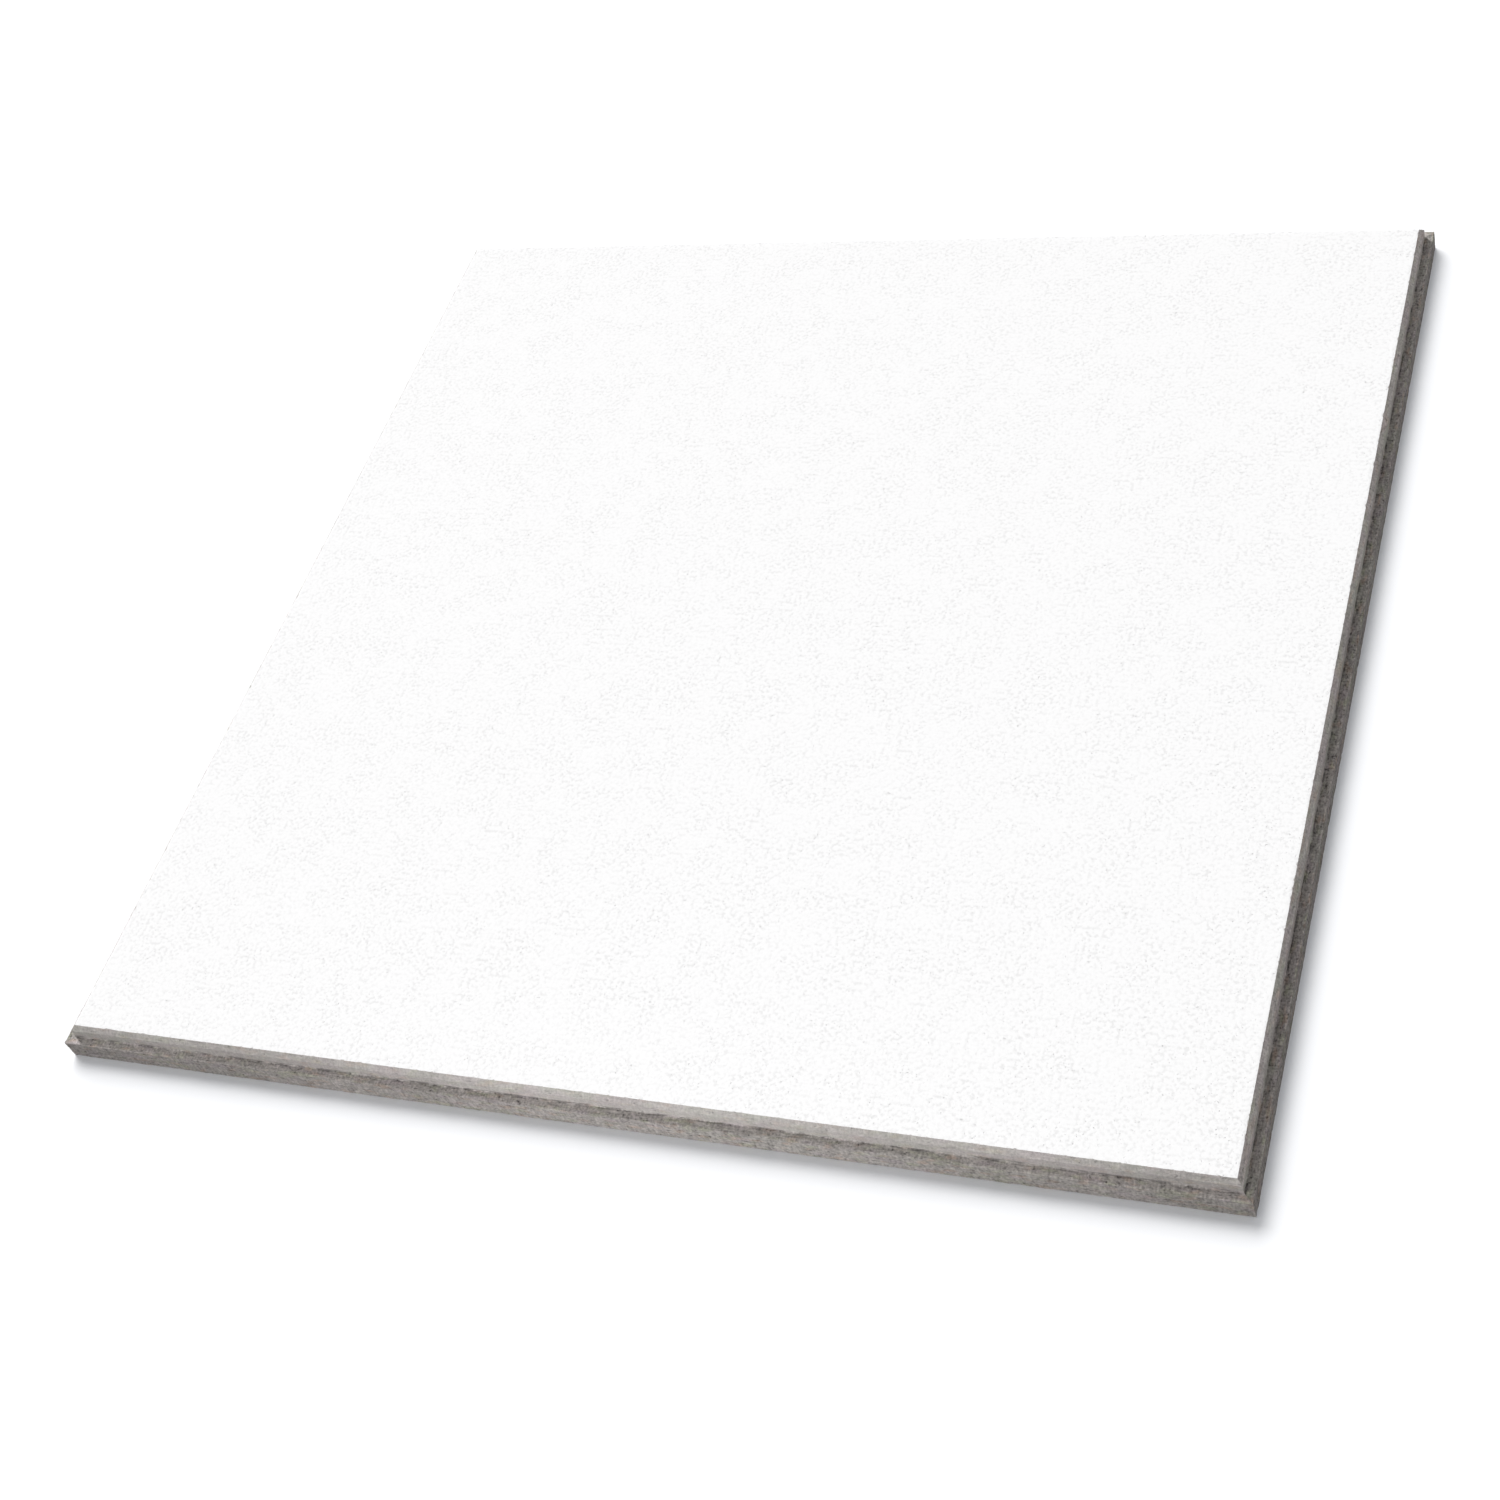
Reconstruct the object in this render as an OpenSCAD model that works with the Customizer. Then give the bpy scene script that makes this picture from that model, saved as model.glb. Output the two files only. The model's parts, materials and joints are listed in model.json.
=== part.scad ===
// Square mineral-fibre ceiling tile with a bevelled tegular edge, for a suspended grid.
// The board is one piece. It lies on its back: the painted face is up, and so are the four
// ledges. In the ceiling it hangs the other way up, with its ledges on the tee flanges.
// Origin: centre of the back. X and Y run along the sides, +Z points out of the face.

/* [Board] */
// Overall width along X, over the flanges: 23 3/4 in, for a 24 in grid module
tile_w = 603.25; // [280:0.25:1220]
// Overall length along Y, over the flanges: 23 3/4 in, for a 24 in grid module
tile_l = 603.25; // [280:0.25:1220]
// Thickness from back to face: 3/4 in
tile_t = 19.05; // [15:0.05:28]

/* [Tegular edge] */
// Width of the ledge that rests on the tee flange
ledge_w = 4.6; // [2:0.1:14]
// Depth from the face down to the ledge, by which the face drops below the grid
reveal_d = 7.6; // [5:0.1:11]
// Width of the bevel, measured across the face
bevel_w = 2.4; // [0.5:0.1:4]
// Depth of the bevel, measured down from the face
bevel_d = 2.4; // [0.5:0.1:4]
// Radius that the cutter leaves at the foot of the riser
root_r = 0.5; // [0.2:0.1:1.5]

/* [Hidden] */
board_white = [0.93, 0.93, 0.92];
flange_t = tile_t - reveal_d;
riser_h = reveal_d - bevel_d;
// The cove is never taller than the riser or wider than the ledge.
cove_r = min(root_r, riser_h, ledge_w);
arc_facets = 48;

// Half of the cut section, as [distance from the centre line, height], from the back's
// outer corner up over the ledge, riser and bevel to the face.
function half_section(side) =
    let (flange_x = side / 2, riser_x = flange_x - ledge_w)
    [
        [flange_x, 0],
        [flange_x, flange_t],
        [riser_x, flange_t],
        [riser_x, tile_t - bevel_d],
        [riser_x - bevel_w, tile_t],
    ];

// The small cove at the foot of a riser, drawn with the riser on its left.
module root_cove() {
    difference() {
        square(cove_r);
        translate([cove_r, cove_r]) circle(r = cove_r, $fn = arc_facets);
    }
}

// One half of the section, from the centre line out to the flange.
module half_outline(side) {
    polygon(concat([[0, 0]], half_section(side), [[0, tile_t]]));
    translate([side / 2 - ledge_w, flange_t]) root_cove();
}

// Section across the board: both edges have the same profile.
module board_section(side) {
    half_outline(side);
    mirror([1, 0]) half_outline(side);
}

// What one pass of the edge cutters leaves: the section over `side`, run for `length` along Y.
module cutter_pass(side, length) {
    translate([0, length / 2, 0])
        rotate([90, 0, 0])
            linear_extrude(height = length) board_section(side);
}

// Two passes at right angles give all four edges, with mitred corners on bevel and cove.
module tile() {
    color(board_white)
        intersection() {
            cutter_pass(tile_w, tile_l);
            rotate([0, 0, 90]) cutter_pass(tile_l, tile_w);
        }
}

tile();
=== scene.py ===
# %% [markdown]
# # A mineral-fibre ceiling tile
# The tile is a square board of wet-felted mineral fibre, 19 mm thick. Its face has a coat of
# white paint, and its four edges are milled to a step, so that the board can hang in a metal
# grid with its face a little below the grid. The lesson models that one board, with the torn,
# fibrous surface that the cutters leave, and gives it three finishes.
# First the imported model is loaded. It is the fixed frame that everything is measured from.

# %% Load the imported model
import json
import math

import bmesh
import bpy
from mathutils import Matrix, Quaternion, Vector


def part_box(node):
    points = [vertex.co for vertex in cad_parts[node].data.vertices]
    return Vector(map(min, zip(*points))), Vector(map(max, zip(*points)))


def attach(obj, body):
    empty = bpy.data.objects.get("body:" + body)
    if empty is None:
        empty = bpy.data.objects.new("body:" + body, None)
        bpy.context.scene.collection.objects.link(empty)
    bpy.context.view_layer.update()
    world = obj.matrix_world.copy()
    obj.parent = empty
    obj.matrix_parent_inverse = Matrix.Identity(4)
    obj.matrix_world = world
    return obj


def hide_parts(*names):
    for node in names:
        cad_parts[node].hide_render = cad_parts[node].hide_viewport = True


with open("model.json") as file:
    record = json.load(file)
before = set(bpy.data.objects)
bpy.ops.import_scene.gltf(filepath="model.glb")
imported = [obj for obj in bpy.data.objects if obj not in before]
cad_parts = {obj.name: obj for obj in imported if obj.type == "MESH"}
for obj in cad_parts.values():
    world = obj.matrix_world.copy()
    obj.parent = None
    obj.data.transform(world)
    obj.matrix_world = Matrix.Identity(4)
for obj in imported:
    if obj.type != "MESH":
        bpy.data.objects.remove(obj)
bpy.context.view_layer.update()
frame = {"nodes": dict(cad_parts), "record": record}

MM = 0.001

# %% [markdown]
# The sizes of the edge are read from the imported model, so that the detailed board fits it
# exactly. The model's corners lie at a few heights only. The last three, going up, are the top
# of the little cove at the foot of the riser, the foot of the bevel, and the face. How far the
# model reaches from its centre at a height gives the widths.

# %% Measure the milled edge
same_spot = 0.01 * MM  # corners closer than this count as being in one place
cad_corners = [corner.co for corner in frame["nodes"]["tile"].data.vertices]
mounts = {mount["name"]: mount for mount in frame["record"]["mounts"]}
tile_low, tile_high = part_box("tile")
width, length, face_z = tile_high - tile_low
ledge_z = mounts["ledge_front"]["pos_m"][2]
heights = sorted({round(corner.z, 6) for corner in cad_corners})
cove_top_z, bevel_z = heights[-3:-1]


def reach(height):
    """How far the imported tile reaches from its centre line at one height."""
    return max(corner.x for corner in cad_corners if abs(corner.z - height) < same_spot)


ledge_w = width / 2 - reach(bevel_z)
bevel_w = reach(bevel_z) - reach(face_z)
cove_r = cove_top_z - ledge_z
print("ledge", round(ledge_w / MM, 2), "wide at", round(ledge_z / MM, 2), "mm")
print("bevel", round(bevel_w / MM, 2), "wide from", round(bevel_z / MM, 2), "mm up")
print("cove of", round(cove_r / MM, 2), "mm radius at the foot of the riser")

# %% [markdown]
# The camera looks down on the tile from over its near corner, tilted a little to one side, so
# that the whole face and the two nearest edges show. It is aimed by a line from its place to
# a point on the floor, and then rolled about that line.

# %% Place the camera
camera_place = Vector((0.472, -0.751, 0.902))
camera_aim = Vector((0.005, -0.078, 0))
camera_roll = math.radians(-23.3)
camera_lens, film_width = 56.8, 36  # mm

bpy.ops.object.camera_add(location=camera_place)
camera = bpy.context.object
camera.name = "camera"
sight = (camera_aim - camera_place).to_track_quat("-Z", "Y")
camera.rotation_euler = (sight @ Quaternion((0, 0, 1), camera_roll)).to_euler()
camera.data.sensor_width = film_width
camera.data.lens = camera_lens
bpy.context.scene.camera = camera
bpy.context.scene.view_settings.view_transform = "Standard"
print("camera is", round((camera_aim - camera_place).length, 2), "m from what it looks at")

# %% [markdown]
# The board starts as a block as high as the ledge, the size of the whole tile. Its material
# slots are made now, while there are only a few faces to give them to: bare fibre where the
# saw and the cutters went, paint on the face, and the felt skin on the back.

# %% Lay down the block
bpy.ops.object.select_all(action="DESELECT")
middle = (0, 0, ledge_z / 2)
bpy.ops.mesh.primitive_cube_add(size=1, location=middle, scale=(width, length, ledge_z))
board = bpy.context.object
board.name = "board"
bpy.ops.object.transform_apply(location=True, rotation=True, scale=True)
finishes = {}
for name in ("bare_fibre", "painted_face", "felt_back"):
    finishes[name] = bpy.data.materials.new(name)
    board.data.materials.append(finishes[name])
print("block, mm:", [round(side / MM, 2) for side in board.dimensions])

# %% [markdown]
# Faces and edges are picked in code, by where they are and which way they face. One helper
# clears the selection and selects what passes a test, so that the next operator acts on that
# alone. Another says where a corner lies on the tile's section: how far in from the outside,
# and how high.

# %% Pick parts of the board by place
select_modes = {"faces": "FACE", "edges": "EDGE"}
straight_up = 0.99  # the least z of a unit normal that counts as pointing up


def pick(kind, test):
    """Selects the faces or edges of the board that pass a test, and says how many."""
    bpy.ops.mesh.select_mode(type=select_modes[kind])
    bpy.ops.mesh.select_all(action="DESELECT")
    shape = bmesh.from_edit_mesh(board.data)
    chosen = [part for part in getattr(shape, kind) if test(part)]
    for part in chosen:
        part.select_set(True)
    bmesh.update_edit_mesh(board.data)
    return len(chosen)


def section(corner):
    """Where a corner lies on the tile's section: distance in from the edge, and height."""
    inset = min(width / 2 - abs(corner.co.x), length / 2 - abs(corner.co.y))
    return round(inset, 5), round(corner.co.z, 5)


def faces_up(face):
    return face.normal.z > straight_up


def faces_down(face):
    return face.normal.z < -straight_up


def lies_at(face, height):
    return abs(face.calc_center_median().z - height) < same_spot


# %% [markdown]
# The step and the bevel come from the top face by the tools that a modeller would use by
# hand. An inset marks the ledge, an extrusion raises the riser, and an inset with a depth
# slopes the bevel. The face and the back then get a narrow rim, whose small cells will carry
# the chips along the edge, while the wide middles stay flat.

# %% Cut the ledge, riser and bevel
rim_w = 2.4 * MM
bpy.ops.object.mode_set(mode="EDIT")
pick("faces", faces_up)
bpy.ops.mesh.inset(thickness=ledge_w, depth=0)
bpy.ops.mesh.extrude_region_move(TRANSFORM_OT_translate={"value": (0, 0, bevel_z - ledge_z)})
bpy.ops.mesh.inset(thickness=bevel_w, depth=face_z - bevel_z)
skins = ((faces_up, face_z, "painted_face"), (faces_down, 0, "felt_back"))
for looks_that_way, level_z, name in skins:
    pick("faces", lambda face: looks_that_way(face) and lies_at(face, level_z))
    board.active_material_index = list(finishes).index(name)
    bpy.ops.object.material_slot_assign()
    bpy.ops.mesh.inset(thickness=rim_w, depth=0)
print("faces after shaping:", len(bmesh.from_edit_mesh(board.data).faces))

# %% [markdown]
# The cutter has a small radius, and leaves a cove where the riser meets the ledge. It is a
# bevel of the four edges in that corner.

# %% Round the foot of the riser
cove_steps = 3
riser_foot = (round(ledge_w, 5), round(ledge_z, 5))
found = pick("edges", lambda edge: all(section(end) == riser_foot for end in edge.verts))
bpy.ops.mesh.bevel(offset=cove_r, segments=cove_steps, affect="EDGES")
print("edges rounded at the foot of the riser:", found)

# %% [markdown]
# A torn, fibrous edge needs cells of about a millimetre, but only there: the flat middle of
# the face would waste them. Subdivide cuts the long edges twice, 23 by 24 cells to a side. The
# first pass goes over the middle too, the second stops at the rim. Last, each band is cut
# across its width by as many rows as it needs.

# %% Divide the edges into small cells
first_cells = 23
second_cells = 24
row_w = 0.8 * MM
long_edge = 10 * MM
cut_w = ledge_w + bevel_w + rim_w + 0.1 * MM  # a little over, so that the rim's inner edge counts


def runs_along(edge):
    """True for an edge that keeps its place on the section, as the long ones do."""
    return section(edge.verts[0]) == section(edge.verts[1]) and edge.calc_length() > long_edge


def by_the_edge(edge):
    """True for an edge of the milled step or of the two rims, and not of the wide middles."""
    return all(section(end)[0] < cut_w for end in edge.verts)


pick("edges", runs_along)
bpy.ops.mesh.subdivide(number_cuts=first_cells - 1)
pick("edges", lambda edge: runs_along(edge) and by_the_edge(edge))
bpy.ops.mesh.subdivide(number_cuts=second_cells - 1)

bands = set()
for edge in bmesh.from_edit_mesh(board.data).edges:
    foot, head = sorted(section(end) for end in edge.verts)
    if by_the_edge(edge) and foot != head:
        bands.add((foot, head))
for band in sorted(bands):
    rows = max(1, round(math.dist(*band) / row_w))
    if rows > 1:
        pick("edges", lambda edge: tuple(sorted(section(end) for end in edge.verts)) == band)
        bpy.ops.mesh.subdivide(number_cuts=rows - 1)
    print("band", [round(side / MM, 2) for spot in band for side in spot], "mm:", rows, "rows")
bpy.ops.mesh.select_all(action="SELECT")
bpy.ops.mesh.normals_make_consistent(inside=False)
bpy.ops.object.mode_set(mode="OBJECT")
print("faces:", len(board.data.polygons))

# %% [markdown]
# Smooth shading is set before the surface is broken up, so that the arrises stay crisp: an
# edge that turns by more than the angle is marked sharp, and keeps that mark. The cove turns
# by less at each step, so it stays round.

# %% Shade the board smooth between its arrises
arris_turn = math.radians(40)
bpy.ops.object.select_all(action="DESELECT")
board.select_set(True)
bpy.ops.object.shade_smooth_by_angle(angle=arris_turn)
print("sharp edges:", sum(edge.use_edge_sharp for edge in board.data.edges))

# %% [markdown]
# A saw and a moulding cutter tear mineral felt: they pull fibres out along the cut, leave pits
# where a clot of wool came away, and crumble the sharp arrises. How strongly each of those
# acts is painted as weights on the corners of the mesh, here in code by place: one group for
# the front and back edges, one for the left and right, and one for the arrises, with the four
# upright ones at the corners of the board.

# %% Weigh how torn each spot is
sawn, milled, outline = 1, 0.6, 0.4  # how rough each of these is left
face_inset = ledge_w + bevel_w
crumble_w = 1.3 * MM
upright_wear = 0.8
arris_wear = {  # by the arris's place on the section
    (0, 0): 0.6,
    (0, ledge_z): 0.7,
    (ledge_w, bevel_z): 0.4,
    (face_inset, face_z): 0.25,
}


def torn(inset, height):
    """How rough the cutters leave one spot of the section, from 0 to 1."""
    on_back = height == 0 and inset > 0
    if on_back or inset > face_inset + same_spot:
        return 0
    if height == 0 or height > face_z - same_spot:
        return outline
    if inset > ledge_w - same_spot:
        return milled
    return sawn


def fading(distance):
    """1 on an arris, and down to 0 where the crumbling ends."""
    return max(0, 1 - distance / crumble_w)


def crumbled(spot):
    """How far the arrises crumble at one spot of the section, from 0 to 1."""
    return max(wear * fading(math.dist(spot, arris)) for arris, wear in arris_wear.items())


weights = {"front_and_back": {}, "left_and_right": {}, "arrises": {}}
for corner in board.data.vertices:
    across_x, across_y = width / 2 - abs(corner.co.x), length / 2 - abs(corner.co.y)
    edges = "front_and_back" if across_y <= across_x else "left_and_right"
    spot = section(corner)
    by_upright = upright_wear * fading(max(across_x, across_y))
    wear = max(crumbled(spot), by_upright)
    weights[edges].setdefault(round(torn(*spot), 2), []).append(corner.index)
    weights["arrises"].setdefault(round(wear, 2), []).append(corner.index)
for name, corners_by_weight in weights.items():
    group = board.vertex_groups.new(name=name)
    corners_by_weight.pop(0, None)
    for weight, corners in corners_by_weight.items():
        group.add(corners, weight, "REPLACE")
    print(name, "corners:", sum(len(corners) for corners in corners_by_weight.values()))

# %% [markdown]
# The tearing is made by Displace modifiers. Each moves the corners inwards along their normals
# by a cloud pattern, never outwards, so the board stays inside its measured size. The pattern
# is laid out by an empty object used as a ruler: scaled by different amounts, it draws the
# clouds out into fibres along the edge.

# %% Tear the milled edges
ruler_shift = (0.37, 0.11, 5)  # times the depth, so that no two patterns line up


def tear(name, group, depth, grain, contrast, cover):
    """Sinks one group of corners by clouds. The depth and the grain are in millimetres.

    More contrast gives the clouds harder borders, and more cover lets them take in more of
    the surface.
    """
    depth = depth * MM
    clouds = bpy.data.textures.new(name, type="CLOUDS")
    clouds.noise_scale = 1
    clouds.noise_depth = 2
    clouds.contrast = contrast
    clouds.intensity = cover
    clouds.use_clamp = True
    bpy.ops.object.empty_add(location=[shift * depth for shift in ruler_shift])
    ruler = bpy.context.object
    ruler.scale = [side * MM for side in grain]
    bpy.context.view_layer.update()
    layer = board.modifiers.new(name, "DISPLACE")
    layer.texture = clouds
    layer.texture_coords = "OBJECT"
    layer.texture_coords_object = ruler
    layer.vertex_group = group
    layer.mid_level = 0
    layer.strength = -depth
    before = [corner.co.copy() for corner in board.data.vertices]
    bpy.context.view_layer.objects.active = board
    bpy.ops.object.modifier_apply(modifier=name)
    bpy.data.objects.remove(ruler)
    moves = [(corner.co - old).length for corner, old in zip(board.data.vertices, before)]
    print(name, "deepest, mm:", round(max(moves) / MM, 2))


fibre_grain = {"front_and_back": (9, 1.3, 1.3), "left_and_right": (1.3, 9, 1.3)}
for group, grain in fibre_grain.items():
    tear(f"{group}_fibres", group, 0.15, grain, contrast=2.2, cover=0.95)
    tear(f"{group}_felt", group, 0.13, (1.6, 1.6, 1.6), contrast=2, cover=0.9)
    tear(f"{group}_pits", group, 0.32, (2.2, 2.2, 2.2), contrast=5, cover=0)
tear("arris_crumbs", "arrises", 0.22, (1.8, 1.8, 1.8), contrast=2.5, cover=0.85)
tear("arris_chips", "arrises", 0.4, (4, 4, 4), contrast=5, cover=0)

# %% [markdown]
# The finishes are node materials. Their sums are written as plain Python: a Value wraps the
# output of a node, and adding, multiplying or comparing Values adds the Math nodes for it.
# All lengths in the shaders are in millimetres.

# %% Wrap shader sums in Python


class Value:
    """A number or colour that varies over a surface. Arithmetic on it adds Math nodes."""

    def __init__(self, finish, socket):
        self.finish = finish
        self.socket = socket

    def math(self, operation, first, second=0):
        return self.finish.node("ShaderNodeMath", {"operation": operation}, {0: first, 1: second})

    def __add__(self, other):
        return self.math("ADD", self, other)

    def __radd__(self, other):
        return self.math("ADD", other, self)

    def __sub__(self, other):
        return self.math("SUBTRACT", self, other)

    def __rsub__(self, other):
        return self.math("SUBTRACT", other, self)

    def __mul__(self, other):
        return self.math("MULTIPLY", self, other)

    def __rmul__(self, other):
        return self.math("MULTIPLY", other, self)

    def __gt__(self, other):
        return self.math("GREATER_THAN", self, other)

    def __abs__(self):
        return self.math("ABSOLUTE", self)

    def larger(self, other):
        return self.math("MAXIMUM", self, other)


# %% [markdown]
# A Finish is one material being made. Its one method for nodes takes the kind of node, its
# settings, and what its sockets hold or are linked to. A few helpers on top of it are named
# for what they do to a surface: grain lays out a noise, step turns a noise into patches with
# soft borders, blend mixes two colours and tone makes a colour lighter or darker.

# %% Make materials from nodes


class Finish:
    """A material being made. It adds nodes, and feeds its surface shader."""

    def __init__(self, name):
        self.name = name
        self.tree = finishes[name].node_tree
        self.shader = self.tree.nodes["Principled BSDF"]
        metres = self.node("ShaderNodeTexCoord", {}, {}, "Object")
        self.place = self.tone(metres, 1 / MM)  # in millimetres
        self.x, self.y, self.z = (
            self.node("ShaderNodeSeparateXYZ", {}, {0: self.place}, way) for way in "XYZ"
        )

    def node(self, kind, settings, sockets, output=0):
        """Adds a node, sets it up, and returns one of its outputs."""
        new = self.tree.nodes.new(kind)
        for setting, value in settings.items():
            setattr(new, setting, value)
        for socket, value in sockets.items():
            self.feed(new.inputs[socket], value)
        return Value(self, new.outputs[output])

    def feed(self, socket, value):
        """Links a Value to a socket, or writes a plain number or colour into it."""
        if isinstance(value, Value):
            self.tree.links.new(value.socket, socket)
        elif socket.type == "RGBA":
            socket.default_value = (*value, 1)
        else:
            socket.default_value = value

    def surface(self, sockets):
        """Feeds the surface shader itself, which ends the material."""
        for socket, value in sockets.items():
            self.feed(self.shader.inputs[socket], value)
        print(self.name, "nodes:", len(self.tree.nodes))

    def grain(self, place, size, shift, detail=2):
        """Noise from 0 to 1 whose grains have the size given, in millimetres."""
        scale = tuple(1 / side for side in size)
        laid = self.node("ShaderNodeMapping", {}, {"Vector": place, "Location": shift, "Scale": scale})
        noise = {"Vector": laid, "Scale": 1, "Detail": detail}
        return self.node("ShaderNodeTexNoise", {}, noise, "Fac")

    def step(self, value, low, high):
        """0 below low, 1 above high, and a soft slope between."""
        ends = {0: value, 1: low, 2: high, 3: 0, 4: 1}
        return self.node("ShaderNodeMapRange", {"interpolation_type": "SMOOTHSTEP"}, ends)

    def blend(self, under, over, share):
        """One colour laid over another, wherever its share is above 0."""
        return self.node("ShaderNodeMix", {"data_type": "RGBA"}, {0: share, 6: under, 7: over}, 2)

    def tone(self, colour, amount):
        """A colour, or any three numbers, times one amount."""
        return self.node("ShaderNodeVectorMath", {"operation": "SCALE"}, {0: colour, "Scale": amount})

    def relief(self, height):
        """Bumps from heights in millimetres."""
        bumps = {"Strength": 1, "Distance": MM, "Height": height}
        return self.node("ShaderNodeBump", {}, bumps, "Normal")


for finish in finishes.values():
    finish.use_nodes = True
print("finishes to make:", list(finishes))

# %% [markdown]
# Bare mineral fibre is a warm grey felt of slag wool, paper fibre and clay. Where it was cut,
# it shows light fibres drawn out along the edge, pale and dark grains, pits, and faint patches
# of rust, olive and mauve from the waste that it is made of. The pattern must run along each
# edge, so the shader first turns its coordinates with the side that it is on: along the edge,
# across it, and up. Two masks, 0 or 1, say which part a spot is on: one is 1 on the left and
# right edges, and one is 1 on what is raised above the ledge.

# %% Lay out the fibre along each edge
elsewhere = 900  # mm along the noise, so that the left and right edges get stretches of their own
mask_slope = 0.1  # mm to each side of a border
ledge_mm, top_mm, bevel_mm = ledge_w / MM, ledge_z / MM, bevel_z / MM
bare = Finish("bare_fibre")
by_left_or_right = abs(bare.x) > abs(bare.y)
along = bare.x + (bare.y - bare.x + elsewhere) * by_left_or_right
across = bare.y + (bare.x - bare.y) * by_left_or_right
inset = width / 2 / MM - abs(bare.x).larger(abs(bare.y))
raised = bare.step(inset, ledge_mm - mask_slope, ledge_mm + mask_slope)
edge_place = bare.node("ShaderNodeCombineXYZ", {}, {0: along, 1: across, 2: bare.z})
print("the raised part starts", round(ledge_mm, 2), "mm in from the edge")

# %% [markdown]
# The colours come first, from broad to fine. Faint casts of olive and mauve, a few centimetres
# long, show most on the clean cuts. Over them lie smaller, stronger patches, cut off high so that
# they stay rare. Both are noise stretched along the edge.

# %% Colour the bare fibre
fibre_grey = (0.404, 0.377, 0.362)
milled_grey = (0.401, 0.380, 0.367)
# Each is a colour, the size of its stretches in mm, and where in the noise they are taken from.
casts = (
    ((0.383, 0.392, 0.350), (24, 9, 9), (83, 14, 5)),
    ((0.413, 0.370, 0.378), (20, 9, 9), (7, 33, 71)),
)
patches = (
    ((0.43, 0.335, 0.28), (9, 3.5, 3), (3, 40, 7)),
    ((0.38, 0.385, 0.30), (8, 3, 3), (61, 5, 29)),
    ((0.405, 0.36, 0.375), (12, 4, 4), (17, 88, 53)),
)


def stain(colour, stains, low, high, share):
    """Lays each stain over a colour where its noise is above low, and in full above high."""
    for stain_colour, size, shift in stains:
        stained = bare.step(bare.grain(edge_place, size, shift), low, high)
        colour = bare.blend(colour, stain_colour, stained * share)
    return colour


cast_share = 0.15 + raised * 0.3 + by_left_or_right * 0.25
patch_share = 0.65 - raised * 0.35 + by_left_or_right * 0.12
colour = bare.blend(fibre_grey, milled_grey, raised)
colour = stain(colour, casts, 0.44, 0.64, cast_share)
colour = stain(colour, patches, 0.52, 0.72, patch_share)
print("casts:", len(casts), "and patch colours:", len(patches))

# %% [markdown]
# On top of the colours come the fibres drawn out along the edge, a soft mottle, the grains, the
# marks of the saw across the edge, and pits. Each noise is 0.5 on average, so half is taken off
# and what is left makes the grey lighter or darker by a share of itself.

# %% Draw the fibres and grains
drawn_fibres = bare.grain(edge_place, (6, 0.6, 0.5), (9, 9, 9), detail=3)
mottle = bare.grain(edge_place, (2.8, 1.9, 1.9), (71, 2, 13))
saw_marks = bare.grain(edge_place, (1, 6, 6), (29, 7, 61))
grains = bare.grain(edge_place, (1.1, 1, 1), (5, 31, 47), detail=3)
pits = bare.step(bare.grain(edge_place, (2.6, 1.5, 1.5), (23, 51, 3)), 0.62, 0.74)
stretches = bare.grain(edge_place, (55, 20, 20), (53, 19, 2), detail=1)
# The pits also make the grey darker: painted shade in the hollows.
drawn = (drawn_fibres - 0.5) * 0.7 + (mottle - 0.5) * 0.7 - pits * 0.4
ground_up = (grains - 0.5) * 1.5 + (saw_marks - 0.5) * 0.7
fibre_height = (drawn_fibres - 0.5) * 0.35 + (grains - 0.5) * 0.35 - pits * 0.3
print("bare_fibre nodes so far:", len(bare.tree.nodes))

# %% [markdown]
# The cutters leave their own marks, and light and shade are painted in here as well. The riser and
# the bevel are the cleanest and palest cut: they are paler partly as a cut and partly as painted
# light.
# On the front and back edges the ledge is painted a little paler than the sawn side below it, as
# painted light. The root of the step is painted darker in broken streaks: painted shade in the
# crease, with some dust and torn fibres. The left and right edges are less even. Their ledge is
# painted darker, as painted shade, and their riser paler, as painted light. Each of these is a mask
# made from the place on the section. A slow noise lightens and darkens whole stretches of the edge
# as well, because the felt was never quite even.

# %% Mark the cuts and paint their light and shade
# The root of the step is darkened in broken streaks: painted shade in the crease, with some dust.
from_root = abs(inset - ledge_mm).larger(abs(bare.z - top_mm))
root_shade_and_dust = 1 - bare.step(from_root, 0.4, 1.5)
streaks = bare.step(bare.grain(edge_place, (8, 1.6, 1.6), (37, 2, 19), detail=3), 0.45, 0.6)
at_ledge_height = bare.step(bare.z, top_mm - 1, top_mm - 0.2)
off_arris = bare.step(inset, 0.2, 1.4)
on_ledge = at_ledge_height * off_arris * (1 - raised)
on_riser = raised - bare.step(bare.z, bevel_mm - 0.3, bevel_mm + 0.3)

# How much lighter than the sawn side, below 0 darker: on the front and back edges, and what the
# other two add. The raised part is partly a paler cut and partly painted light, and the riser and
# ledge terms are painted light and shade.
milled_paleness_and_painted_light = 0.385 + by_left_or_right * 0.095
riser_painted_light_and_shade = by_left_or_right * 0.2 - 0.07
ledge_painted_light_and_shade = 0.19 - by_left_or_right * 0.3
paleness_light_and_shade = raised * milled_paleness_and_painted_light
paleness_light_and_shade = paleness_light_and_shade + on_riser * riser_painted_light_and_shade
paleness_light_and_shade = paleness_light_and_shade + on_ledge * ledge_painted_light_and_shade

unevenness = 1 - raised * 0.55 + by_left_or_right * 0.25
lightness = 1 + (drawn + ground_up) * unevenness + (stretches - 0.5) * 0.36
# The root term darkens the crease as painted shade, and the paleness term holds painted light and
# shade.
lightness = lightness * (1 + paleness_light_and_shade) * (1 - root_shade_and_dust * streaks * 0.5)
bare.surface({
    "Base Color": bare.tone(colour, lightness),
    "Roughness": 0.86 + grains * 0.12,
    "Specular IOR Level": 0.2,
    "Normal": bare.relief(fibre_height),
})
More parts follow.
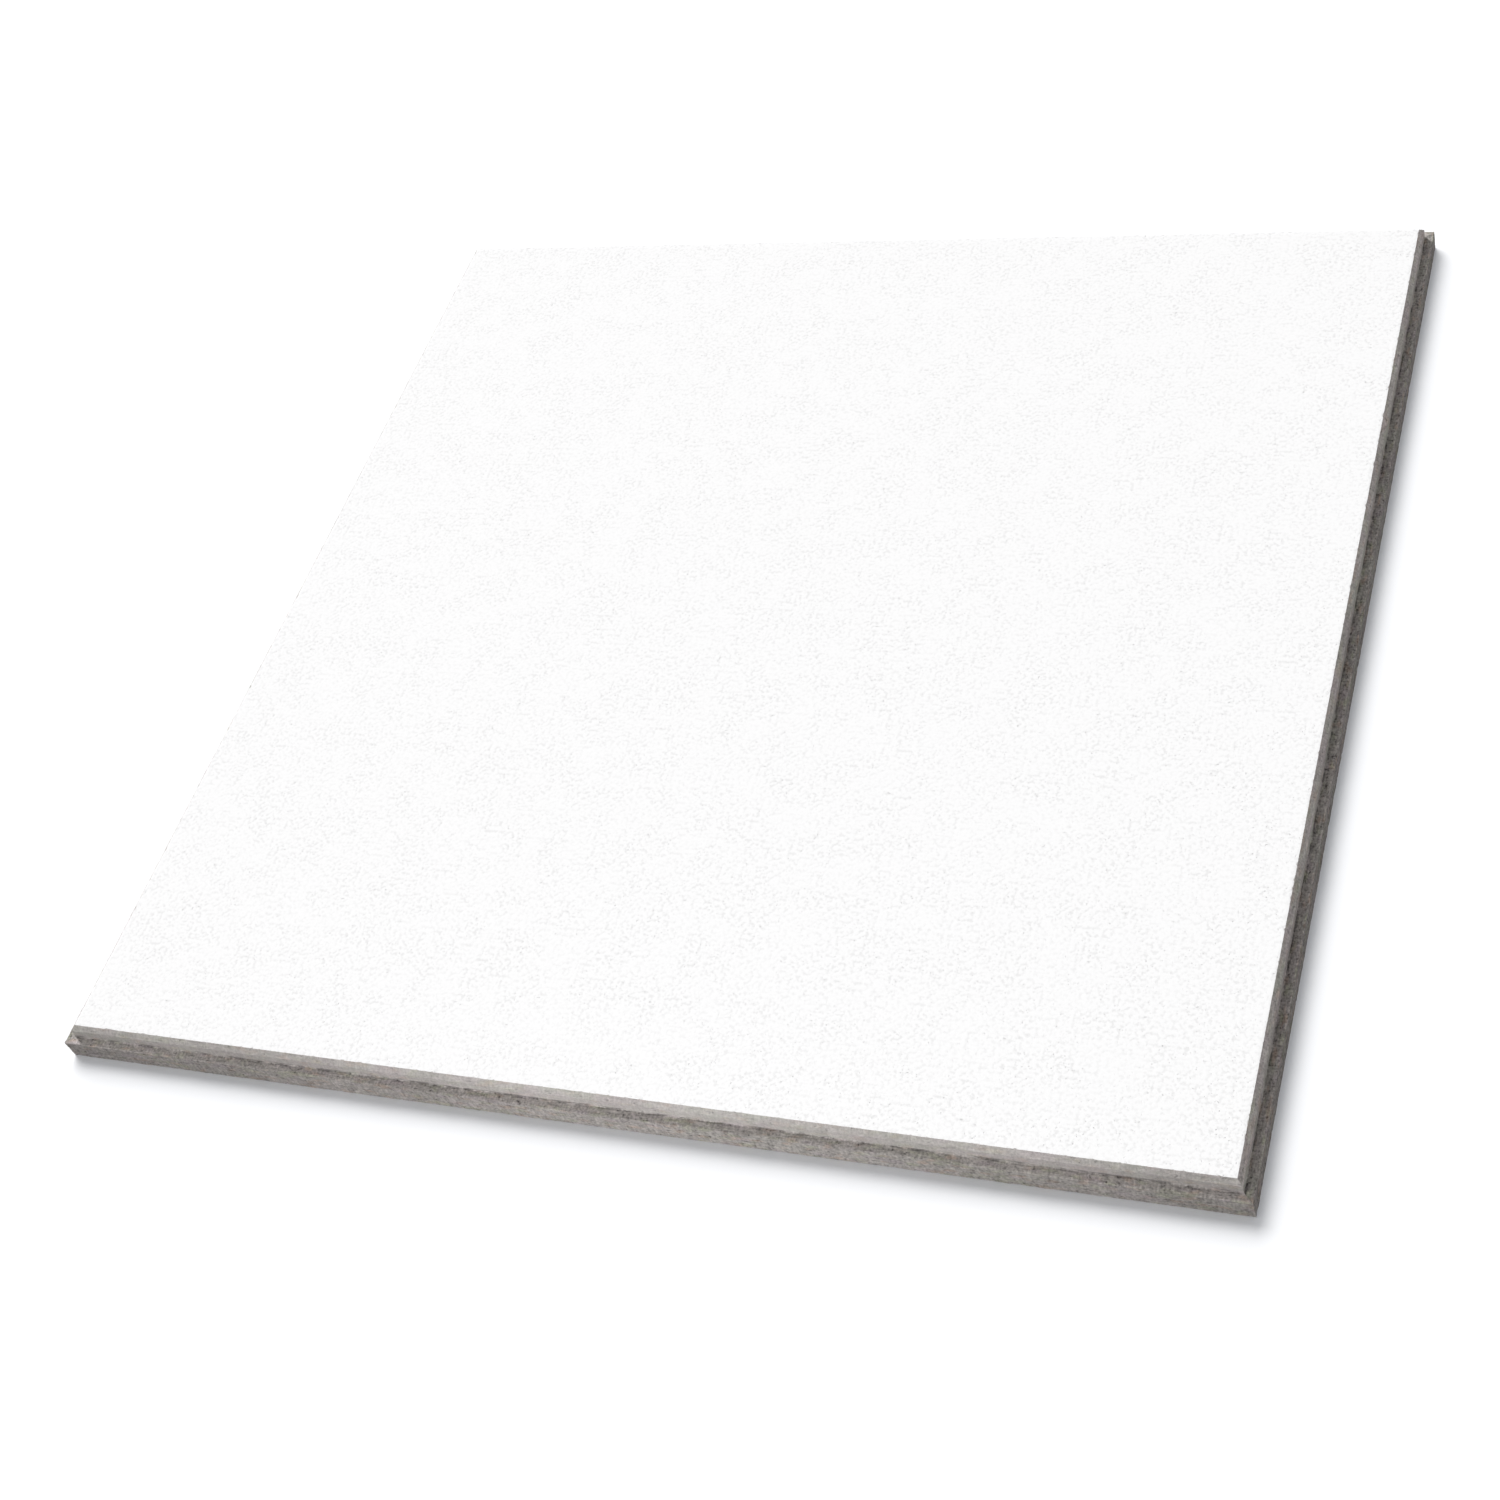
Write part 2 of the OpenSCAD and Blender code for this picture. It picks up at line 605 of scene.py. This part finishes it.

# %% [markdown]
# The face is rolled with flat white latex over the felt. The felt shows through as a fine
# texture without direction: tiny short marks where the paint dips, in looser and denser drifts,
# and a few open pores. The marks and the pores are painted grey: painted shade in the dips and
# pores. Where an arris chipped, the grey fibre shows under the paint.

# %% Paint the face
white = (0.938, 0.939, 0.946)
dip_shade_grey = (0.83, 0.83, 0.835)
pore_shade_grey = (0.62, 0.62, 0.62)
mark_depth, pore_depth = 0.05, 0.12
paint = Finish("painted_face")
drifts = paint.step(paint.grain(paint.place, (12, 12, 12), (4, 4, 4), detail=3), 0.32, 0.68)
marks = paint.step(paint.grain(paint.place, (1.9, 1.9, 1.9), (8, 1, 5), detail=1), 0.44, 0.72)
pores = paint.step(paint.grain(paint.place, (1.1, 1.1, 1.1), (2, 77, 31), detail=1), 0.7, 0.78)
marks = marks * (0.4 + drifts * 0.7)
# The grey of the marks and pores is painted shade in the dips.
colour = paint.blend(white, dip_shade_grey, marks)
colour = paint.blend(colour, pore_shade_grey, pores * drifts)

below_face = face_z / MM - paint.z
chipped = paint.step(below_face, 0.05, 0.15)
bare_grains = paint.grain(paint.place, (1.2, 1.2, 1.2), (6, 6, 6), detail=3)
colour = paint.blend(colour, paint.tone(fibre_grey, 0.8 + bare_grains * 0.4), chipped)
paint.surface({
    "Base Color": colour,
    "Roughness": 0.78 + marks * 0.1,
    "Specular IOR Level": 0.25,
    "Normal": paint.relief((1 - marks) * mark_depth - pores * pore_depth),
})

# %% [markdown]
# The back is never seen once the tile hangs. It is the plain felt as it left the dryer: pale
# grey-beige, a little cloudy, with flattened fibres that lie in all directions.

# %% Leave the back as plain felt
felt_beige = (0.51, 0.487, 0.457)
felt_dark = (0.40, 0.376, 0.345)
felt = Finish("felt_back")
clouds = felt.grain(felt.place, (45, 30, 30), (7, 3, 1), detail=4)
fibres = felt.grain(felt.place, (5, 0.8, 1), (4, 2, 9), detail=3)
cross_fibres = felt.grain(felt.place, (0.8, 5, 1), (12, 8, 3), detail=3)
specks = felt.step(felt.grain(felt.place, (2, 2, 2), (1, 60, 2)), 0.64, 0.74)
felt_tone = 1 + (clouds - 0.5) * 0.3 + (fibres - 0.5) * 0.3 + (cross_fibres - 0.5) * 0.3
colour = felt.blend(felt.tone(felt_beige, felt_tone), felt_dark, specks * 0.6)
felt.surface({
    "Base Color": colour,
    "Roughness": 0.85 + fibres * 0.1,
    "Specular IOR Level": 0.2,
    "Normal": felt.relief((fibres + cross_fibres) * 0.2 - specks * 0.25),
})

# %% [markdown]
# The tile lies on a plain white floor. To the camera the floor is as white as paper, but it
# throws less light back on the board than real white paper would, so that the edges which face
# away from the main lamp keep their shade.

# %% Lay the floor
floor_size = 14
floor_lit = (0.2, 0.2, 0.2)
floor_seen = (0.99, 0.99, 1.0)
bpy.ops.mesh.primitive_plane_add(size=floor_size, location=(0, 0, 0))
floor = bpy.context.object
floor.name = "floor"
finishes["floor_white"] = bpy.data.materials.new("floor_white")
finishes["floor_white"].use_nodes = True
floor.data.materials.append(finishes["floor_white"])
ground = Finish("floor_white")
seen, mirrored, through = (
    ground.node("ShaderNodeLightPath", {}, {}, f"Is {kind} Ray")
    for kind in ("Camera", "Glossy", "Transmission")
)
ground.surface({
    "Base Color": ground.blend(floor_lit, floor_seen, seen.larger(mirrored).larger(through)),
    "Roughness": 1.0,
    "Specular IOR Level": 0.0,
})

# %% [markdown]
# A lamp is given by a level: a surface that faces a lamp of level 1 shows its colour as written,
# and for a sun lamp that is a strength of pi. The key lamp shines from the back left, low enough
# to leave the front and right edges in shade, and a wide one from the front left lifts the front
# edge. The floor has lamps of its own, so its shadow can be softer than the shade in the step: a
# wide one from the back left lays it, and a weak blue one from above cools it.

# %% Hang the lamps
white_light = (1, 1, 1)
blue_light = (0.74, 0.86, 1)
# Each is where the lamp is seen from the board, its level, how many degrees wide it looks, its
# colour, and what it lights.
lamps = {
    "key_lamp": ((-0.63, 0.50, 0.594), 0.935, 12, white_light, board),
    "front_lamp": ((-0.52, -0.56, 0.645), 0.17, 30, white_light, board),
    "floor_key_lamp": ((-0.41, 0.55, 0.727), 0.9, 41, white_light, floor),
    "floor_top_lamp": ((0.5, -0.15, 0.85), 0.13, 80, blue_light, floor),
}


def shine_only_on(lamp, thing):
    """Light linking: the lamp lights this one thing and nothing else."""
    lit = bpy.data.collections.new(f"lit_by_{lamp.name}")
    lit.objects.link(thing)
    lamp.light_linking.receiver_collection = lit


for name, (toward, level, spread, tint, lit_thing) in lamps.items():
    bpy.ops.object.light_add(type="SUN")
    lamp = bpy.context.object
    lamp.name = name
    lamp.rotation_euler = (-Vector(toward)).to_track_quat("-Z", "Y").to_euler()
    lamp.data.energy = level * math.pi
    lamp.data.angle = math.radians(spread)
    lamp.data.color = tint
    shine_only_on(lamp, lit_thing)
    print(name, "strength:", round(lamp.data.energy, 2))

# %% [markdown]
# A small soft box stands low in front of the board and faces its front edge. Unlike a sun it is
# near, so the edge is brightest in the middle and falls off towards both corners. An area lamp
# is set in watts, and those that give a level grow with the square of its distance.

# %% Light the front edge
edge_lamp_distance = 0.28
edge_lamp_level = 0.54
edge_lamp_width, edge_lamp_height = 0.2, 0.05
edge_lamp_place = Vector((0.03, -length / 2 - edge_lamp_distance, 0.03))
facing_back = (math.radians(90), 0, 0)
bpy.ops.object.light_add(type="AREA", location=edge_lamp_place, rotation=facing_back)
edge_lamp = bpy.context.object
edge_lamp.name = "edge_lamp"
edge_lamp.data.shape = "RECTANGLE"
edge_lamp.data.size = edge_lamp_width
edge_lamp.data.size_y = edge_lamp_height
edge_lamp.data.energy = edge_lamp_level * (math.pi * edge_lamp_distance) ** 2
edge_lamp.visible_camera = False
shine_only_on(edge_lamp, board)
print("edge_lamp watts:", round(edge_lamp.data.energy, 2))

# %% [markdown]
# The world is white to the camera, and to anything glossy or clear, but much dimmer as a
# light. That is done with the kinds of ray that Light Path tells apart.

# %% Light the world
world_lit = (0.372, 0.368, 0.363, 1)
world_seen = (1, 1, 1, 1)
world = bpy.data.worlds.new("studio")
bpy.context.scene.world = world
world.use_nodes = True
sky = world.node_tree.nodes["Background"]
rays = world.node_tree.nodes.new("ShaderNodeLightPath")
seen_white = rays.outputs["Is Camera Ray"]
for kind in ("Is Glossy Ray", "Is Transmission Ray"):
    either = world.node_tree.nodes.new("ShaderNodeMath")
    either.operation = "MAXIMUM"
    world.node_tree.links.new(seen_white, either.inputs[0])
    world.node_tree.links.new(rays.outputs[kind], either.inputs[1])
    seen_white = either.outputs[0]
sky_colour = world.node_tree.nodes.new("ShaderNodeMix")
sky_colour.data_type = "RGBA"
sky_colour.inputs[6].default_value = world_lit
sky_colour.inputs[7].default_value = world_seen
world.node_tree.links.new(seen_white, sky_colour.inputs[0])
world.node_tree.links.new(sky_colour.outputs[2], sky.inputs["Color"])
print("the world as a light:", world_lit[:3])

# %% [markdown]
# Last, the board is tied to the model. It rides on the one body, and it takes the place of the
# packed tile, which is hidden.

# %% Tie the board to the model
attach(board, "root")
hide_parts("tile")
